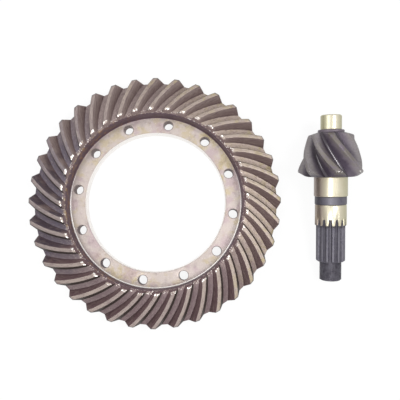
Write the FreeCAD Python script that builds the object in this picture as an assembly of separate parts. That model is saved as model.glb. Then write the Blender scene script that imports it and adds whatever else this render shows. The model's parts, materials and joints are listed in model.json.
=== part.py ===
"""Ring and pinion gear set of a heavy axle, as it lies on a table.

The ring gear lies on its flat back with its teeth upwards. The frame's origin is on the ring's
axis at its back face, +Z is the ring's axis and +X points to the pinion beside it. The pinion lies
on its side: it rests on two of its teeth and on the end of its spline, pilot end raised.
Lengths are in millimetres and angles in degrees.
"""
import FreeCAD, Part
import math
import os

# Ring gear: tooth count, spiral and the two cones of its teeth
RING_TEETH = 36
RING_OUTER_RADIUS = 195.0
RING_TIP_HEIGHT = 37.5
RING_FACE_LENGTH = 52.3
RING_TIP_SLOPE = 11.5
RING_ROOT_SLOPE = 20.0
RING_HEEL_DEPTH = 17.8
RING_HEEL_LEAN = 14.5
RING_TOE_LEAN = 31.0
RING_TOE_BEVEL = 2.2
RING_TOE_BEVEL_DROP = 1.76
RING_TOE_OVERREACH = 1.1
RING_SPIRAL_TURN = 12.7
RING_LAND_PHASE = -0.1
RING_LAND_WIDTH = 5.4
RING_STEEP_FLANK = 12.5
RING_SHALLOW_FLANK = 29.0

# Ring gear: forged and turned body
RING_BORE_RADIUS = 110.0
RING_FLANGE_THICKNESS = 17.7
RING_BOLT_FACE_RADIUS = 134.6
RING_WALL_FOOT_BEVEL = 1.6
RING_BACK_EDGE_DROP = 4.5
RING_BACK_EDGE_BEVEL = 4.0
RING_BORE_BEVEL = 1.2

# Ring gear: bolt holes
BOLT_COUNT = 12
BOLT_CIRCLE_RADIUS = 124.0
BOLT_HOLE_DIAMETER = 14.5
BOLT_PHASE = 21.1

# Pinion: toothed head, measured along its axis from the heel tips towards the pilot
PINION_TEETH = 7
HEAD_HEEL_RADIUS = 50.0
HEAD_FACE_LENGTH = 55.8
HEAD_TIP_SLOPE = 15.7
HEAD_HEEL_DEPTH = 17.6
HEAD_ROOT_SLOPE = 8.2
HEAD_TIP_BEVEL = 0.9
HEAD_TIP_BEVEL_RISE = 0.36
HEAD_LAND_HALF_ANGLE = 5.4
HEAD_STEEP_ROOT_ANGLE = 14.5
HEAD_SHALLOW_ROOT_ANGLE = 27.5
HEAD_FLANK_BULGE = 1.2
HEAD_BACK_LENGTH = 7.4
HEAD_BACK_RADIUS = 39.0
HEAD_BACK_BEVEL = 1.0
HEAD_BACK_BEVEL_WIDTH = 4.0
HEAD_TOE_DROP = 4.2
HEAD_TOE_FACE_LENGTH = 2.94

# Pinion: pilot journal, collar, bearing seats, spline and threaded end
COLLAR_DIAMETER = 39.7
COLLAR_LENGTH = 3.7
PILOT_DIAMETER = 31.75
PILOT_LENGTH = 22.3
INNER_SEAT_DIAMETER = 50.8
INNER_SEAT_LENGTH = 29.8
BAND_DIAMETER = 48.2
BAND_LENGTH = 12.6
OUTER_SEAT_DIAMETER = 47.625
OUTER_SEAT_LENGTH = 31.0
SPLINE_DIAMETER = 43.8
SPLINE_LENGTH = 56.5
STUB_DIAMETER = 33.0
STUB_LENGTH = 29.5
SEAT_BEVEL = 0.8
SHOULDER_BEVEL = 0.8
END_BEVEL = 1.6

# Pinion: spline grooves and centre holes
SPLINE_TEETH = 15
SPLINE_DEPTH = 3.0
SPLINE_FLOOR_WIDTH = 3.2
SPLINE_FLANK_ANGLE = 27.0
SPLINE_RUN_OUT = 11.0
SPLINE_PHASE = 8.0
CENTRE_HOLE_DIAMETER = 9.0
CENTRE_HOLE_ANGLE = 60.0

# Where the pinion lies: the middle of its heel circle in plan, and its heading
PINION_X = 270.65
PINION_Y = 42.5
PINION_HEADING = 0.68

# How far a cutting tool reaches past the metal that it cuts
OVERCUT = 4.0

UP = FreeCAD.Vector(0, 0, 1)
ORIGIN = FreeCAD.Vector(0, 0, 0)


def tan(degrees):
    """Tangent of an angle in degrees."""
    return math.tan(math.radians(degrees))


def polar(radius, angle):
    """Point of a plane at a radius and an angle."""
    return FreeCAD.Vector(radius * math.cos(math.radians(angle)), radius * math.sin(math.radians(angle)), 0)


def closed_wire(points, place):
    """Closed wire through points of a plane, each mapped by place to a point in space."""
    corners = [place(point.x, point.y) for point in points]
    return Part.makePolygon(corners + corners[:1])


def turned(outline):
    """Solid turned about the Z axis from an outline of (radius, height) corners."""
    points = [FreeCAD.Vector(radius, height, 0) for radius, height in outline]
    wire = closed_wire(points, lambda radius, height: FreeCAD.Vector(radius, 0, height))
    return Part.Face(wire).revolve(ORIGIN, UP, 360)


def around(shape, count, first=0.0):
    """Copies of a shape turned about the Z axis, evenly spaced, the first one turned by first."""
    copies = []
    for index in range(count):
        copy = shape.copy()
        copy.rotate(ORIGIN, UP, first + index * 360.0 / count)
        copies.append(copy)
    return copies


def steps(start, end, count):
    """Evenly spaced values from start to end, both included."""
    return [start + (end - start) * index / (count - 1) for index in range(count)]


def ring_toe_radius():
    """Radius of the tooth tips at their inner end."""
    return RING_OUTER_RADIUS - RING_FACE_LENGTH


def ring_tip_height(radius):
    """Height of the tip cone over the back face."""
    return RING_TIP_HEIGHT + (RING_OUTER_RADIUS - radius) * tan(RING_TIP_SLOPE)


def ring_root_height(radius):
    """Height of the root cone over the back face."""
    heel_root = RING_TIP_HEIGHT - RING_HEEL_DEPTH
    return heel_root + (RING_OUTER_RADIUS - radius) * tan(RING_ROOT_SLOPE)


def ring_heel_radius(height):
    """Radius of the leaning heel face at a height."""
    return RING_OUTER_RADIUS - (RING_TIP_HEIGHT - height) * tan(RING_HEEL_LEAN)


def ring_toe_foot():
    """Radius and height where the leaning toe face meets the inner wall, under the root cone."""
    toe_radius = ring_toe_radius()
    toe_depth = ring_tip_height(toe_radius) - ring_root_height(toe_radius)
    foot_depth = toe_depth * RING_TOE_OVERREACH
    return toe_radius - foot_depth * tan(RING_TOE_LEAN), ring_tip_height(toe_radius) - foot_depth


def ring_blank():
    """Turned body of the ring gear, before its teeth and holes are cut."""
    toe_radius = ring_toe_radius()
    toe_tip = ring_tip_height(toe_radius)
    foot_radius, foot_height = ring_toe_foot()
    back_radius = ring_heel_radius(RING_BACK_EDGE_DROP)
    outline = [
        (RING_BORE_RADIUS, 0),
        (back_radius - RING_BACK_EDGE_BEVEL, 0),
        (back_radius, RING_BACK_EDGE_DROP),
        (RING_OUTER_RADIUS, RING_TIP_HEIGHT),
        (toe_radius + RING_TOE_BEVEL, ring_tip_height(toe_radius + RING_TOE_BEVEL)),
        (toe_radius - RING_TOE_BEVEL_DROP * tan(RING_TOE_LEAN), toe_tip - RING_TOE_BEVEL_DROP),
        (foot_radius, foot_height),
        (RING_BOLT_FACE_RADIUS + RING_WALL_FOOT_BEVEL, RING_FLANGE_THICKNESS + RING_WALL_FOOT_BEVEL),
        (RING_BOLT_FACE_RADIUS, RING_FLANGE_THICKNESS),
        (RING_BORE_RADIUS + RING_BORE_BEVEL, RING_FLANGE_THICKNESS),
        (RING_BORE_RADIUS, RING_FLANGE_THICKNESS - RING_BORE_BEVEL),
    ]
    return turned(outline)


def ring_slot_section(radius):
    """Wire of one tooth space in the upright plane square to the radius.

    Each land's middle follows the tooth trace, which turns evenly with the radius. A space has a
    steep flank on its clockwise side and a shallow one on the other.
    """
    turn_rate = RING_SPIRAL_TURN / RING_FACE_LENGTH
    spiral_cosine = math.cos(math.atan(radius * math.radians(turn_rate)))
    pitch = 360.0 / RING_TEETH
    middle_angle = RING_LAND_PHASE + (RING_OUTER_RADIUS - radius) * turn_rate + pitch / 2
    half_opening = (radius * math.radians(pitch) - RING_LAND_WIDTH / spiral_cosine) / 2
    tip = ring_tip_height(radius)
    root = ring_root_height(radius)
    steep = tan(RING_STEEP_FLANK) / spiral_cosine
    shallow = tan(RING_SHALLOW_FLANK) / spiral_cosine
    top = tip + OVERCUT
    points = [
        FreeCAD.Vector(-half_opening - OVERCUT * steep, top, 0),
        FreeCAD.Vector(-half_opening + (tip - root) * steep, root, 0),
        FreeCAD.Vector(half_opening - (tip - root) * shallow, root, 0),
        FreeCAD.Vector(half_opening + OVERCUT * shallow, top, 0),
    ]
    cosine = math.cos(math.radians(middle_angle))
    sine = math.sin(math.radians(middle_angle))

    def place(across, height):
        return FreeCAD.Vector(radius * cosine - across * sine, radius * sine + across * cosine, height)

    return closed_wire(points, place)


def ring_slot():
    """Cutting body of one tooth space, from inside the toe to outside the heel."""
    inner = ring_toe_foot()[0] - OVERCUT
    outer = RING_OUTER_RADIUS + OVERCUT
    sections = [ring_slot_section(radius) for radius in steps(inner, outer, 4)]
    return Part.makeLoft(sections, True, False)


def bolt_hole():
    """Cutting body of one through hole."""
    start = FreeCAD.Vector(BOLT_CIRCLE_RADIUS, 0, -OVERCUT)
    return Part.makeCylinder(BOLT_HOLE_DIAMETER / 2, RING_FLANGE_THICKNESS + 2 * OVERCUT, start)


def ring_gear():
    """The ring gear: blank, tooth spaces and bolt holes."""
    drilled = ring_blank().cut(around(bolt_hole(), BOLT_COUNT, BOLT_PHASE))
    return drilled.cut(around(ring_slot(), RING_TEETH))


def head_tip_radius(station):
    """Radius of the pinion's tip cone at a station along the axis."""
    return HEAD_HEEL_RADIUS - station * tan(HEAD_TIP_SLOPE)


def head_root_radius(station):
    """Radius of the pinion's root cone at a station along the axis."""
    return HEAD_HEEL_RADIUS - HEAD_HEEL_DEPTH - station * tan(HEAD_ROOT_SLOPE)


def pinion_stations():
    """Stations of the shoulders along the pinion's axis, by name, all from the lengths above."""
    toe = HEAD_FACE_LENGTH + HEAD_TOE_DROP
    back = -HEAD_BACK_LENGTH
    inner_end = back - INNER_SEAT_LENGTH
    band_end = inner_end - BAND_LENGTH
    outer_end = band_end - OUTER_SEAT_LENGTH
    spline_end = outer_end - SPLINE_LENGTH
    return {
        "toe": toe,
        "collar_end": toe + COLLAR_LENGTH,
        "pilot_end": toe + COLLAR_LENGTH + PILOT_LENGTH,
        "back": back,
        "inner_end": inner_end,
        "band_end": band_end,
        "outer_end": outer_end,
        "spline_end": spline_end,
        "stub_end": spline_end - STUB_LENGTH,
    }


def centre_hole_depth():
    """Depth of the conical centre hole in each end of the shaft."""
    return CENTRE_HOLE_DIAMETER / 2 / tan(CENTRE_HOLE_ANGLE / 2)


def pinion_blank(at):
    """Turned body of the pinion, before its teeth and spline are cut."""
    stub = STUB_DIAMETER / 2
    spline = SPLINE_DIAMETER / 2
    outer_seat = OUTER_SEAT_DIAMETER / 2
    band = BAND_DIAMETER / 2
    inner_seat = INNER_SEAT_DIAMETER / 2
    collar = COLLAR_DIAMETER / 2
    pilot = PILOT_DIAMETER / 2
    seat_step = outer_seat - spline
    toe_tip = head_tip_radius(HEAD_FACE_LENGTH)
    toe_face_end = HEAD_FACE_LENGTH + HEAD_TOE_FACE_LENGTH
    outline = [
        (0, at["stub_end"] + centre_hole_depth()),
        (CENTRE_HOLE_DIAMETER / 2, at["stub_end"]),
        (stub - END_BEVEL, at["stub_end"]),
        (stub, at["stub_end"] + END_BEVEL),
        (stub, at["spline_end"]),
        (spline - END_BEVEL, at["spline_end"]),
        (spline, at["spline_end"] + END_BEVEL),
        (spline, at["outer_end"] - seat_step),
        (outer_seat, at["outer_end"]),
        (outer_seat, at["band_end"] - SEAT_BEVEL),
        (outer_seat - SEAT_BEVEL, at["band_end"]),
        (band, at["band_end"] + SEAT_BEVEL),
        (band, at["inner_end"]),
        (inner_seat - SEAT_BEVEL, at["inner_end"]),
        (inner_seat, at["inner_end"] + SEAT_BEVEL),
        (inner_seat, at["back"] - SHOULDER_BEVEL),
        (inner_seat + SHOULDER_BEVEL, at["back"]),
        (HEAD_BACK_RADIUS - HEAD_BACK_BEVEL_WIDTH, at["back"]),
        (HEAD_BACK_RADIUS, at["back"] + HEAD_BACK_BEVEL),
        (head_tip_radius(0) - HEAD_TIP_BEVEL, -HEAD_TIP_BEVEL_RISE),
        (head_tip_radius(HEAD_TIP_BEVEL), HEAD_TIP_BEVEL),
        (head_tip_radius(HEAD_FACE_LENGTH - HEAD_TIP_BEVEL), HEAD_FACE_LENGTH - HEAD_TIP_BEVEL),
        (toe_tip - HEAD_TIP_BEVEL, HEAD_FACE_LENGTH + HEAD_TIP_BEVEL_RISE),
        (head_root_radius(toe_face_end), toe_face_end),
        (collar, at["toe"]),
        (collar, at["collar_end"] - SEAT_BEVEL),
        (collar - SEAT_BEVEL, at["collar_end"]),
        (pilot + SHOULDER_BEVEL, at["collar_end"]),
        (pilot, at["collar_end"] + SHOULDER_BEVEL),
        (pilot, at["pilot_end"] - END_BEVEL),
        (pilot - END_BEVEL, at["pilot_end"]),
        (CENTRE_HOLE_DIAMETER / 2, at["pilot_end"]),
        (0, at["pilot_end"] - centre_hole_depth()),
    ]
    return turned(outline)


def head_turn_rate():
    """Turn of the pinion's tooth trace for each millimetre of its axis.

    Over its face the pinion turns as far as the ring does over its own, by the ratio of the teeth.
    """
    return RING_SPIRAL_TURN * RING_TEETH / PINION_TEETH / HEAD_FACE_LENGTH


def head_slot_section(station):
    """Wire of one tooth space of the pinion in the plane square to its axis at a station.

    The flanks bulge, and the space is lopsided as the ring's is.
    """
    half_pitch = 180.0 / PINION_TEETH
    middle_angle = half_pitch - station * head_turn_rate()
    tip = head_tip_radius(station)
    root = head_root_radius(station)
    bulge = HEAD_FLANK_BULGE * tip / HEAD_HEEL_RADIUS

    def flank(side, root_angle):
        """Two lines of one flank, from its root through its tip to a top above the metal."""
        foot = polar(root, side * (half_pitch - root_angle))
        crest = polar(tip, side * (half_pitch - HEAD_LAND_HALF_ANGLE))
        rise = crest - foot
        inward = FreeCAD.Vector(rise.y, -rise.x, 0).normalize() * side
        middle = (foot + crest) / 2 + inward * bulge
        upper = crest - middle
        return [foot, middle, crest + upper.normalize() * OVERCUT]

    steep = flank(-1, HEAD_STEEP_ROOT_ANGLE)
    shallow = flank(1, HEAD_SHALLOW_ROOT_ANGLE)
    peak = FreeCAD.Vector(tip + 3 * OVERCUT, 0, 0)
    cosine = math.cos(math.radians(middle_angle))
    sine = math.sin(math.radians(middle_angle))

    def place(out, across):
        return FreeCAD.Vector(out * cosine - across * sine, out * sine + across * cosine, station)

    return closed_wire(steep + [peak] + shallow[::-1], place)


def head_slot(at):
    """Cutting body of one tooth space of the pinion, from behind the heel to past the toe."""
    stations = steps(at["back"] - OVERCUT / 2, at["collar_end"], 4)
    return Part.makeLoft([head_slot_section(station) for station in stations], True, False)


def spline_groove(at):
    """Cutting body of one spline groove: a straight run and the slope where the cutter lifts out."""
    floor = SPLINE_DIAMETER / 2 - SPLINE_DEPTH
    top = OUTER_SEAT_DIAMETER / 2 + OVERCUT
    half_floor = SPLINE_FLOOR_WIDTH / 2
    half_top = half_floor + (top - floor) * tan(SPLINE_FLANK_ANGLE)
    start = at["spline_end"] - OVERCUT
    lift = at["outer_end"] - SPLINE_RUN_OUT / 2
    points = [
        FreeCAD.Vector(floor, -half_floor, lift),
        FreeCAD.Vector(floor, half_floor, lift),
        FreeCAD.Vector(top, half_top, lift),
        FreeCAD.Vector(top, -half_top, lift),
    ]
    section = Part.Face(Part.makePolygon(points + points[:1]))
    straight = section.extrude(FreeCAD.Vector(0, 0, start - lift))
    sloping = section.extrude(FreeCAD.Vector(top - floor, 0, SPLINE_RUN_OUT * (top - floor) / SPLINE_DEPTH))
    return straight.fuse(sloping)


def pinion_placement(at):
    """Placement of the pinion as it rests on two heel tips and the end of its spline.

    It rolls until two teeth touch alike, just past the bevel of their heel tips.
    """
    heel_station = HEAD_TIP_BEVEL
    contact_angle = 180.0 / PINION_TEETH - HEAD_LAND_HALF_ANGLE
    heel_reach = head_tip_radius(heel_station) * math.cos(math.radians(contact_angle))
    spline_station = at["spline_end"] + END_BEVEL
    spline_reach = SPLINE_DIAMETER / 2
    tilt = math.degrees(math.atan((heel_reach - spline_reach) / (heel_station - spline_station)))
    height = heel_reach * math.cos(math.radians(tilt)) - heel_station * math.sin(math.radians(tilt))
    lying = FreeCAD.Rotation(FreeCAD.Vector(1, 0, 0), -90 + tilt)
    roll = FreeCAD.Rotation(UP, -90 + heel_station * head_turn_rate())
    heading = FreeCAD.Rotation(UP, PINION_HEADING)
    return FreeCAD.Placement(FreeCAD.Vector(PINION_X, PINION_Y, height), heading * lying * roll)


def pinion():
    """The pinion: blank, tooth spaces and spline, laid on the table."""
    at = pinion_stations()
    cutters = around(head_slot(at), PINION_TEETH) + around(spline_groove(at), SPLINE_TEETH, SPLINE_PHASE)
    shape = pinion_blank(at).cut(cutters)
    shape.Placement = pinion_placement(at)
    shape.translate(UP * -shape.optimalBoundingBox().ZMin)
    return shape


def main():
    """Builds both pieces and writes one file for each."""
    os.makedirs("parts", exist_ok=True)
    nodes = {"ring_gear": ring_gear(), "pinion": pinion()}
    for name, shape in nodes.items():
        shape.exportStep("parts/" + name + ".step")
        box = shape.optimalBoundingBox()
        print(name, shape.ShapeType, len(shape.Solids), shape.isValid(), round(shape.Volume), len(shape.Faces))
        print("  box", [round(v, 2) for v in (box.XMin, box.XMax, box.YMin, box.YMax, box.ZMin, box.ZMax)])


main()
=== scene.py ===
"""Looks of a ring and pinion gear set: cut, forged and ground steel lying on a white table.

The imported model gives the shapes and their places. The ring gear lies on its back round the origin
and the pinion lies beside it, so every finish is worked out from a radius, a height or a station
along the pinion's axis. Lengths are in metres and angles in degrees.
"""

import json
import logging
import math
from dataclasses import dataclass, field
from enum import Enum
from typing import Any, Union

import bpy
from mathutils import Matrix, Vector

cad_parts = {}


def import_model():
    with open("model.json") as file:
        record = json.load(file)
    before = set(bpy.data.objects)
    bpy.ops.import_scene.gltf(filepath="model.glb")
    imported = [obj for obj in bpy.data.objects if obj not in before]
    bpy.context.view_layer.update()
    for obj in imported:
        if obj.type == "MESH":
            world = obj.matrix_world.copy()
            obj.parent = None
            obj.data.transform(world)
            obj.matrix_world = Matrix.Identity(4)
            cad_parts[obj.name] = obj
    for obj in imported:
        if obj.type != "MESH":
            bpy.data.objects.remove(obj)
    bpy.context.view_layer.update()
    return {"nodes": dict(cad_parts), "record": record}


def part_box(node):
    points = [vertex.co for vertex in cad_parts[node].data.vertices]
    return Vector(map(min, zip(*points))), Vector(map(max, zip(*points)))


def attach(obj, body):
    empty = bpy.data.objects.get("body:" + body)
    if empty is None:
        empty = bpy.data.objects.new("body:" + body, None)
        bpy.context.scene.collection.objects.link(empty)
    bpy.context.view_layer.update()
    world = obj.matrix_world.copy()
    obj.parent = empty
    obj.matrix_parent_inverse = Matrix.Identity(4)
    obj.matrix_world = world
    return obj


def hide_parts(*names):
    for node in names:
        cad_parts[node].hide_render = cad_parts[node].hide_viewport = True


LOG = logging.getLogger("gear_set")
MILLIMETRE = 0.001
MERGE_DISTANCE = 0.002 * MILLIMETRE
FLAT_ANGLE = 0.05

# The Mix node's colour sockets go by number, because their names are also those of its other sockets
MIX_BELOW = 6
MIX_ABOVE = 7
MIX_RESULT = 2

Colour = tuple[float, float, float]
Value = Union[float, "Signal"]


def slope(angle: float) -> float:
    """Rise over run of an angle in degrees."""
    return math.tan(math.radians(angle))


class Role(Enum):
    """The two pieces of the set, each named as its CAD node."""

    RING = "ring_gear"
    PINION = "pinion"


class Signal:
    """A number, colour or vector that varies over a surface. Operators on it add Math nodes."""

    def __init__(self, graph: "Graph", socket: bpy.types.NodeSocket) -> None:
        """Wraps an output socket of a graph."""
        self.graph = graph
        self.socket = socket

    def __add__(self, other: Value) -> "Signal":
        """Sum with a value."""
        return self.graph.maths("ADD", self, other)

    def __radd__(self, other: Value) -> "Signal":
        """Sum with a value on the left."""
        return self.graph.maths("ADD", other, self)

    def __sub__(self, other: Value) -> "Signal":
        """Difference with a value."""
        return self.graph.maths("SUBTRACT", self, other)

    def __rsub__(self, other: Value) -> "Signal":
        """Difference with a value on the left."""
        return self.graph.maths("SUBTRACT", other, self)

    def __mul__(self, other: Value) -> "Signal":
        """Product with a value."""
        return self.graph.maths("MULTIPLY", self, other)

    def __rmul__(self, other: Value) -> "Signal":
        """Product with a value on the left."""
        return self.graph.maths("MULTIPLY", other, self)

    def __truediv__(self, other: Value) -> "Signal":
        """Quotient by a value."""
        return self.graph.maths("DIVIDE", self, other)

    def __pow__(self, other: Value) -> "Signal":
        """Power of a value."""
        return self.graph.maths("POWER", self, other)

    def __abs__(self) -> "Signal":
        """Size without its sign."""
        return self.graph.maths("ABSOLUTE", self)


class Graph:
    """The nodes of one material or of the world."""

    def __init__(self, tree: bpy.types.NodeTree) -> None:
        """Empties a node tree, to fill it anew."""
        self.tree = tree
        self.tree.nodes.clear()

    def node(self, kind: str, settings: dict[str, Any], inputs: dict[Any, Any], output: Any = 0) -> Signal:
        """Adds one node.

        Args:
            kind: The node's type.
            settings: Its own properties, set before its sockets.
            inputs: Values or signals by the name or number of a socket.
            output: Name or number of the socket that is returned.

        Returns:
            The node's output as a signal.
        """
        made = self.tree.nodes.new(kind)
        for name, setting in settings.items():
            setattr(made, name, setting)
        for key, value in inputs.items():
            if isinstance(value, Signal):
                self.tree.links.new(value.socket, made.inputs[key])
            else:
                made.inputs[key].default_value = value
        return Signal(self, made.outputs[output]) if made.outputs else Signal(self, made.inputs[0])

    def maths(self, operation: str, *values: Value) -> Signal:
        """Adds a Math node on one or more values."""
        return self.node("ShaderNodeMath", {"operation": operation}, dict(enumerate(values)))

    def vector(self, operation: str, *values: Any, output: str = "Vector") -> Signal:
        """Adds a Vector Math node on one or more vectors."""
        return self.node("ShaderNodeVectorMath", {"operation": operation}, dict(enumerate(values)), output)

    def parts(self, whole: Signal) -> tuple[Signal, ...]:
        """The three parts of a vector."""
        split = self.node("ShaderNodeSeparateXYZ", {}, {0: whole})
        return tuple(Signal(self, output) for output in split.socket.node.outputs)

    def joined(self, *parts: Value) -> Signal:
        """Vector of one to three parts."""
        return self.node("ShaderNodeCombineXYZ", {}, dict(enumerate(parts)))

    def mix(self, share: Value, below: Any, above: Any) -> Signal:
        """Mixes two colours by a share."""
        inputs = {0: share, MIX_BELOW: self.opaque(below), MIX_ABOVE: self.opaque(above)}
        return self.node("ShaderNodeMix", {"data_type": "RGBA"}, inputs, MIX_RESULT)

    @staticmethod
    def opaque(colour: Any) -> Any:
        """A colour with its alpha, or a signal as it is."""
        return colour if isinstance(colour, Signal) else (*colour, 1.0)

    def fade(self, value: Value, start: float, end: float) -> Signal:
        """Smooth mask that rises from 0 at start to 1 at end, whichever of them is larger."""
        inputs = {"Value": value, "From Min": start, "From Max": end}
        return self.node("ShaderNodeMapRange", {"interpolation_type": "SMOOTHSTEP"}, inputs)

    def above(self, value: Value, limit: float, soft: float) -> Signal:
        """Mask that is 1 above a limit, with an edge as soft as given."""
        return self.fade(value, limit - soft, limit + soft)

    def below(self, value: Value, limit: float, soft: float) -> Signal:
        """Mask that is 1 below a limit, with an edge as soft as given."""
        return self.fade(value, limit + soft, limit - soft)

    def between(self, value: Value, low: float, high: float, soft: float) -> Signal:
        """Mask that is 1 from low to high, with edges as soft as given."""
        return self.above(value, low, soft) * self.below(value, high, soft)

    def noise(self, place: Signal, size: float, detail: float = 3.0, shift: float = 0.0) -> Signal:
        """Smooth noise from 0 to 1.

        Args:
            place: Where on the surface.
            size: Size of its patches in metres.
            detail: How many finer layers it has.
            shift: Moves it, so that two noises of one size differ.

        Returns:
            The noise, mostly between 0.3 and 0.7.
        """
        moved = self.vector("ADD", place, (shift, shift / 2, -shift))
        inputs = {"Vector": moved, "Scale": 1 / size, "Detail": detail, "Roughness": 0.55}
        return self.node("ShaderNodeTexNoise", {}, inputs, "Fac")


@dataclass(frozen=True)
class Finish:
    """One kind of steel surface."""

    colour: Colour
    roughness: float
    metallic: float


# Finishes of the ring and then of the pinion, and plain colours that tint them
PHOSPHATE = Finish((0.112, 0.064, 0.070), 0.54, 0.30)
PALE_FLANK = Finish((0.225, 0.165, 0.152), 0.50, 0.35)
# Painted light on the upper flanks towards the rear
FLANK_PAINTED_LIGHT = Finish((0.285, 0.222, 0.208), 0.52, 0.28)
# Painted shade on the steep flanks
FLANK_PAINTED_SHADE = Finish((0.058, 0.034, 0.038), 0.60, 0.25)
# Painted shade on the steep flanks and the corners at their feet
GROOVE_PAINTED_SHADE = Finish((0.028, 0.019, 0.015), 0.65, 0.10)
ROOT_GREY = Finish((0.235, 0.180, 0.172), 0.52, 0.30)
ROOT_MAUVE = Finish((0.190, 0.142, 0.146), 0.50, 0.30)
ROOT_TAN = Finish((0.385, 0.310, 0.268), 0.50, 0.30)
DULL_LAND = Finish((0.225, 0.180, 0.165), 0.52, 0.30)
TOOTH_TAN = Finish((0.370, 0.305, 0.262), 0.54, 0.28)
TURNED_FACE = Finish((0.44, 0.380, 0.352), 0.42, 0.45)
BRIGHT_EDGE = Finish((0.95, 0.93, 0.90), 0.28, 0.80)
BORE_METAL = Finish((0.86, 0.83, 0.80), 0.32, 0.70)
WALL_SKIN = Finish((0.092, 0.055, 0.070), 0.55, 0.30)
GROUND_SEAT = Finish((0.56, 0.52, 0.40), 0.33, 0.72)
SHAFT_SKIN = Finish((0.104, 0.098, 0.120), 0.46, 0.45)
HEAD_SKIN = Finish((0.125, 0.102, 0.124), 0.50, 0.38)
OLIVE_LAND = Finish((0.132, 0.118, 0.092), 0.48, 0.38)
GULLY_GLINT = Finish((0.50, 0.48, 0.50), 0.38, 0.50)
OIL_STAIN = (0.40, 0.325, 0.165)
OLIVE_STAIN = (0.30, 0.25, 0.12)
PINK_STAIN = (0.37, 0.28, 0.30)
RUST = (0.24, 0.125, 0.06)
BLUE_CAST = (0.052, 0.045, 0.074)
# Painted shade on the flanks at the left
BLUE_BLACK = (0.034, 0.028, 0.050)
EDGE_GREY = (0.17, 0.135, 0.13)
HEEL_EDGE = (0.085, 0.090, 0.095)
# Painted shade in grooves, gullies and corners, and also the dark mottle of the stub
SHADE_AND_MOTTLE = (0.022, 0.017, 0.021)
GULLY_PURPLE = (0.050, 0.036, 0.062)
# Painted shade on the left side of the seats
SEAT_LEFT_SHADE = (0.27, 0.21, 0.20)
# Painted shade on both sides of the seats
SEAT_SIDE_SHADE = (0.37, 0.35, 0.22)
# Painted sheen on the sides of the pinion's head
HEAD_SIDE_SHEEN = (0.255, 0.235, 0.240)
CREST_GREY = (0.150, 0.142, 0.165)


class Skin:
    """A steel surface that is built up layer on layer."""

    def __init__(self, graph: Graph, base: Finish) -> None:
        """Starts from one finish all over.

        Args:
            graph: The material's graph.
            base: The finish under all others.
        """
        self.graph = graph
        self.colour: Any = base.colour
        self.roughness: Value = base.roughness
        self.metallic: Value = base.metallic

    def lay(self, finish: Finish, mask: Signal) -> None:
        """Lays another finish where a mask is 1.

        Args:
            finish: The finish on top.
            mask: Where it lies.
        """
        self.colour = self.graph.mix(mask, self.colour, finish.colour)
        self.roughness = self.blend(self.roughness, finish.roughness, mask)
        self.metallic = self.blend(self.metallic, finish.metallic, mask)

    def tint(self, colour: Colour, mask: Signal) -> None:
        """Lays a colour alone where a mask is 1."""
        self.colour = self.graph.mix(mask, self.colour, colour)

    @staticmethod
    def blend(below: Value, above: float, mask: Signal) -> Signal:
        """Number between two others, by a mask."""
        return mask * (above - below) + below

    def shade(self, relief: Signal, depth: float) -> None:
        """Joins the layers to the material's surface.

        Args:
            relief: Height of the surface's fine grain, from about 0 to 1.
            depth: How deep that grain is, in metres.
        """
        bump = self.graph.node("ShaderNodeBump", {}, {"Strength": 1.0, "Distance": depth, "Height": relief})
        inputs = {
            "Base Color": self.graph.opaque(self.colour),
            "Roughness": self.roughness,
            "Metallic": self.metallic,
            "Normal": bump,
        }
        surface = self.graph.node("ShaderNodeBsdfPrincipled", {}, inputs)
        self.graph.node("ShaderNodeOutputMaterial", {}, {"Surface": surface})


def alone(piece: bpy.types.Object) -> None:
    """Makes a piece the only selected and the active object.

    Args:
        piece: The piece.
    """
    bpy.ops.object.select_all(action="DESELECT")
    piece.select_set(True)
    bpy.context.view_layer.objects.active = piece


def merged_copy(node: bpy.types.Object, name: str) -> bpy.types.Object:
    """Copy of a CAD node's mesh with its loose triangles merged.

    Args:
        node: The CAD node, which stays as it is.
        name: Name of the new piece.

    Returns:
        The new piece, at the origin.
    """
    piece = bpy.data.objects.new(name, node.data.copy())
    piece.data.name = name
    bpy.context.scene.collection.objects.link(piece)
    alone(piece)
    bpy.ops.object.mode_set(mode="EDIT")
    bpy.ops.mesh.select_all(action="SELECT")
    bpy.ops.mesh.remove_doubles(threshold=MERGE_DISTANCE)
    bpy.ops.mesh.dissolve_limited(angle_limit=math.radians(FLAT_ANGLE))
    bpy.ops.object.mode_set(mode="OBJECT")
    return piece


def round_edges(piece: bpy.types.Object, width: float, sharp_angle: float) -> None:
    """Rounds a piece's sharp edges and smooths its shading.

    Args:
        piece: The piece.
        width: Width of the rounding.
        sharp_angle: Edges that turn by more than this are rounded.
    """
    alone(piece)
    bevel = piece.modifiers.new("edges", "BEVEL")
    bevel.width = width
    bevel.segments = 2
    bevel.limit_method = "ANGLE"
    bevel.angle_limit = math.radians(sharp_angle)
    bevel.use_clamp_overlap = False
    bpy.ops.object.modifier_apply(modifier=bevel.name)
    bpy.ops.object.shade_smooth_by_angle(angle=math.radians(sharp_angle))


def new_material(name: str) -> tuple[bpy.types.Material, Graph]:
    """Makes an empty material.

    Args:
        name: Its name.

    Returns:
        The material and its graph.
    """
    material = bpy.data.materials.new(name)
    material.use_nodes = True
    return material, Graph(material.node_tree)


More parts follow.
